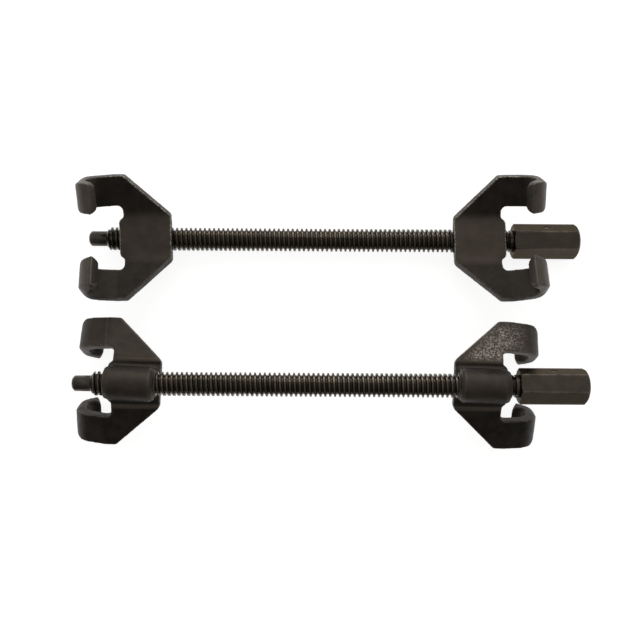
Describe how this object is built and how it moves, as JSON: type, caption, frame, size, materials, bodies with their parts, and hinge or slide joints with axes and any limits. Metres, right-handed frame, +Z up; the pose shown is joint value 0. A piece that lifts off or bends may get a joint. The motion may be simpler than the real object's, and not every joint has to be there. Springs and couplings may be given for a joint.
{
  "type": "coil spring compressor",
  "caption": "Screw-type coil spring compressor set: threaded spindles with long drive hexagons, each carrying forged jaws whose hooked claws grip a coil.",
  "frame": {"origin": "under the middle of the whole set's box, on the surface it lies on", "axes": "+X along both screws towards the hexagons, +Y from the unit lying claws down to the unit lying claws up, +Z up"},
  "size_m": [0.3422, 0.1848, 0.057],
  "materials": {
    "jaw_steel": "forged steel, dark brown-black phosphate, satin, worn bright along edges",
    "screw_steel": "oiled black oxide thread, slightly shiny on the crests",
    "hex_steel": "black oxide, satin, slightly worn corners",
    "pin_steel": "dark ground steel"
  },
  "bodies": {
    "head_jaw_a": {"head_jaw_a": "jaw_steel"},
    "screw_a": {"spindle_a": "screw_steel", "drive_hex_a": "hex_steel", "hex_pin_a": "pin_steel"},
    "tip_jaw_a": {"tip_jaw_a": "jaw_steel"},
    "head_jaw_b": {"head_jaw_b": "jaw_steel"},
    "screw_b": {"spindle_b": "screw_steel", "drive_hex_b": "hex_steel", "hex_pin_b": "pin_steel"},
    "tip_jaw_b": {"tip_jaw_b": "jaw_steel"}
  },
  "joints": [
    {"name": "screw_turn_a", "type": "hinge", "parent": "head_jaw_a", "child": "screw_a", "pos_m": [0.12114, 0.04865, 0.0116], "axis": [-1, 0, 0], "range_deg": [-680, 17000]},
    {"name": "jaw_travel_a", "type": "slide", "parent": "head_jaw_a", "child": "tip_jaw_a", "axis": [1, 0, 0], "range_m": [-0.006, 0.15]},
    {"name": "screw_turn_b", "type": "hinge", "parent": "head_jaw_b", "child": "screw_b", "pos_m": [0.11884, -0.04865, 0.04537], "axis": [-1, 0, 0], "range_deg": [-680, 17000]},
    {"name": "jaw_travel_b", "type": "slide", "parent": "head_jaw_b", "child": "tip_jaw_b", "axis": [1, 0, 0], "range_m": [-0.006, 0.15]},
    {"name": "unit_a_aside", "type": "slide", "parent": "head_jaw_b", "child": "head_jaw_a", "axis": [0, 1, 0], "range_m": [0, 0.15]}
  ],
  "couplings": [
    {"joint": "jaw_travel_a", "follows": "screw_turn_a", "m_per_rad": 0.00050532},
    {"joint": "jaw_travel_b", "follows": "screw_turn_b", "m_per_rad": 0.00050532}
  ]
}
